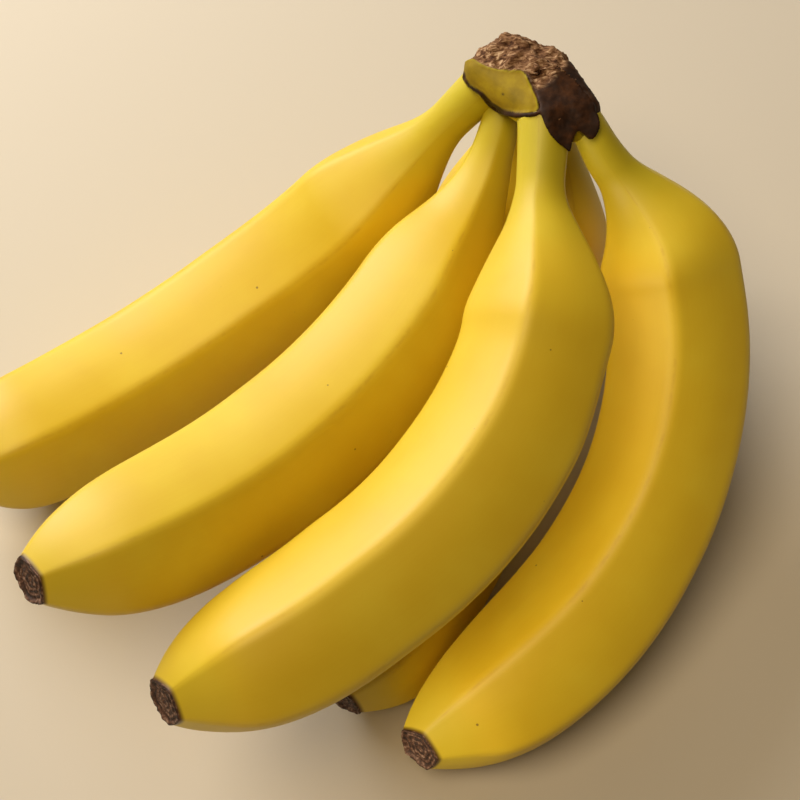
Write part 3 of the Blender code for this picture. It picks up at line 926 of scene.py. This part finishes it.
def crownParts(places, normals):
    # how far each point is bark, rough cut or green patch (0 to 1), and how far it stands out in mm
    away = places - np.array(eye)
    deep = away @ np.array(lookAlong)
    flat = [away @ np.array(way) / deep * crownValues["far"] - middle
            for way, middle in zip((viewRight, viewUp), crownValues["middle"])]
    seenAt = np.stack(flat, 1)
    front = smoothStep(-0.02, 0.10, -(normals * away).sum(1) / np.linalg.norm(away, axis=1))
    height = places[:, 2] / mm
    upper = smoothStep(*crownValues["frontFrom"], height)
    wobble = np.array([noise.noise(Vector(p) * perMetre(crownValues["waver"])) for p in places])
    fine = np.array([noise.noise(Vector(p) * perMetre(crownValues["crumbs"])) for p in places])
    ragged = np.array([noise.turbulence(Vector(p) * perMetre(crownValues["tears"]), 4, False)
                       for p in places])

    # bark: by its outline in front, and by height at the back
    patch = outlineDistance(softenOutline(crownValues["patch"], 2), seenAt) + 0.25 * wobble
    outline = outlineDistance(softenOutline(crownValues["bark"], 2), seenAt) + 0.2 * wobble
    frontBark = smoothStep(-0.25, 0.25, outline) * (1 - smoothStep(-0.25, 0.25, patch)) * upper
    backBark = smoothStep(-0.6, 0.6, height - crownValues["backFrom"] + 0.9 * wobble)
    onFlap = outlineDistance(crownValues["flap"], seenAt) > 0
    bark = np.where(onFlap, frontBark, front * frontBark + (1 - front) * backBark)

    # the lip, which widens from its left end, and one fleck on the patch are bark too
    gap, at = lineDistance(crownValues["lip"], seenAt)
    width = 0.28 + 0.42 * smoothStep(0.1, 0.6, at)
    lip = 1 - smoothStep(width - 0.12, width + 0.18, gap + 0.08 * wobble)
    bark = np.maximum(bark, upper * front * lip)
    fleck = np.hypot(*(seenAt - crownValues["fleck"]).T)
    bark = np.maximum(bark, front * (1 - smoothStep(0.15, 0.5, fleck + 0.15 * fine)))

    cutSeen = smoothStep(-1.0, 0.9, outlineDistance(crownValues["cut"], seenAt) + 0.6 * wobble)
    cutBehind = smoothStep(*crownValues["cutFrom"], height + 2 * wobble)
    cut = bark * (front * cutSeen + (1 - front) * cutBehind)
    lift = cut * (0.95 * (ragged - 0.62) + 0.2 * fine) + (1 - cut) * bark * 0.16 * (wobble + 0.6 * fine)
    lift -= 0.25 * smoothStep(0.0, 0.8, patch) * front
    return {"bark": bark, "cut": cut, "patch": smoothStep(-0.2, 0.4, patch) * front}, lift


def makeCrown():
    mesh = crownCore()
    places = readVectors(mesh.vertices, "co")
    normals = readVectors(mesh.vertex_normals, "vector")
    parts, lift = crownParts(places, normals)
    places += normals * (lift * mm)[:, None]
    mesh.vertices.foreach_set("co", places.astype(np.float32).ravel())
    for name, values in parts.items():
        layer = mesh.attributes.new(name, "FLOAT", "POINT")
        layer.data.foreach_set("value", values.astype(np.float32))
    mesh.materials.clear()
    mesh.materials.append(crownMaterial())
    mesh.shade_smooth()
    mesh.update()
    obj = linkObject("crownCushion", mesh)
    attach(obj, "root")
    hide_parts("crown")
    return obj


corkValues = {
    "patchSkin": ((0.30, "#7d680a"), (0.52, "#957c0e"), (0.70, "#a99114")), "patchClouds": 5.26,
    "neckSkin": ((0.30, "#c4b41d"), (0.52, "#c5b61f"), (0.72, "#c6b821")), "neckClouds": 26.3,
    "flap": ((0.32, "#1c0e07"), (0.5, "#311b0c"), (0.68, "#4b2b13")), "stains": 4.17,
    "torn": ((0.30, "#2c190e"), (0.43, "#5d3c25"), (0.55, "#8f6a4a"), (0.70, "#d2b28d")),
    "fibres": (3.03, 1.11, 1.11),    # length and thickness of a torn bundle
    "roughness": (0.62, 0.85), "specular": 0.2,
}


def crownMaterial():
    # the crown dried after it was cut off the stalk with a knife: a rough pale-brown face of torn fibres,
    # a smooth and nearly black shrunken flap with a faint sheen, and green skin that is still alive
    surface, tree, shader = newMaterial("driedCrownCork")
    place = addNode(tree, "ShaderNodeTexCoord").outputs["Object"]
    bark = addNode(tree, "ShaderNodeAttribute", attribute_name="bark").outputs["Fac"]
    cut = addNode(tree, "ShaderNodeAttribute", attribute_name="cut").outputs["Fac"]
    patch = addNode(tree, "ShaderNodeAttribute", attribute_name="patch").outputs["Fac"]

    # living skin, duller on the patch
    clouds = addNode(tree, "ShaderNodeTexNoise", {"Vector": place, "Detail": 4.0, "Roughness": 0.55,
                                                  "Scale": perMetre(corkValues["patchClouds"])})
    dull = setRamp(addNode(tree, "ShaderNodeValToRGB", {0: clouds}), corkValues["patchSkin"])
    mottle = addNode(tree, "ShaderNodeTexNoise", {"Vector": place, "Detail": 3.0, "Roughness": 0.5,
                                                  "Scale": perMetre(corkValues["neckClouds"])})
    bright = setRamp(addNode(tree, "ShaderNodeValToRGB", {0: mottle}), corkValues["neckSkin"])
    skin = addNode(tree, "ShaderNodeMix", {0: patch, 6: bright, 7: dull}, data_type="RGBA").outputs[2]

    # smooth dried flap
    stains = addNode(tree, "ShaderNodeTexNoise", {"Vector": place, "Scale": perMetre(corkValues["stains"]),
                                                  "Detail": 5.0, "Roughness": 0.6})
    flap = setRamp(addNode(tree, "ShaderNodeValToRGB", {0: stains}), corkValues["flap"])

    # rough cut face; single fibres are finer than this, and are drawn in bundles that show
    scales = [perMetre(size) for size in corkValues["fibres"]]
    stretched = addNode(tree, "ShaderNodeVectorMath", {0: place, 1: scales}, operation="MULTIPLY")
    fibres = addNode(tree, "ShaderNodeTexNoise", {"Vector": stretched, "Scale": 1.0, "Detail": 4.0,
                                                  "Roughness": 0.65, "Distortion": 1.2})
    torn = setRamp(addNode(tree, "ShaderNodeValToRGB", {0: fibres}), corkValues["torn"])
    cork = addNode(tree, "ShaderNodeMix", {0: cut, 6: flap, 7: torn}, data_type="RGBA")
    whole = addNode(tree, "ShaderNodeMix", {0: bark, 6: skin, 7: cork.outputs[2]}, data_type="RGBA")
    tree.links.new(whole.outputs[2], shader.inputs["Base Color"])

    streak = addNode(tree, "ShaderNodeMath", {0: stains, 1: bark}, operation="MULTIPLY")
    soft = addNode(tree, "ShaderNodeMath", {0: streak, 1: 0.22}, operation="MULTIPLY")
    height = addNode(tree, "ShaderNodeMix", {0: cut, 2: soft, 3: fibres}, data_type="FLOAT")
    bump = addNode(tree, "ShaderNodeBump", {"Strength": 0.6, "Distance": 0.6 * mm, "Height": height})
    tree.links.new(bump.outputs[0], shader.inputs["Normal"])
    smooth, rough = corkValues["roughness"]
    matt = addNode(tree, "ShaderNodeMapRange", {0: cut, 1: 0.0, 2: 1.0, 3: smooth, 4: rough})
    tree.links.new(matt.outputs[0], shader.inputs["Roughness"])
    shader.inputs["Specular IOR Level"].default_value = corkValues["specular"]
    return surface


crown = makeCrown()
print("crown ready", len(crown.data.polygons))
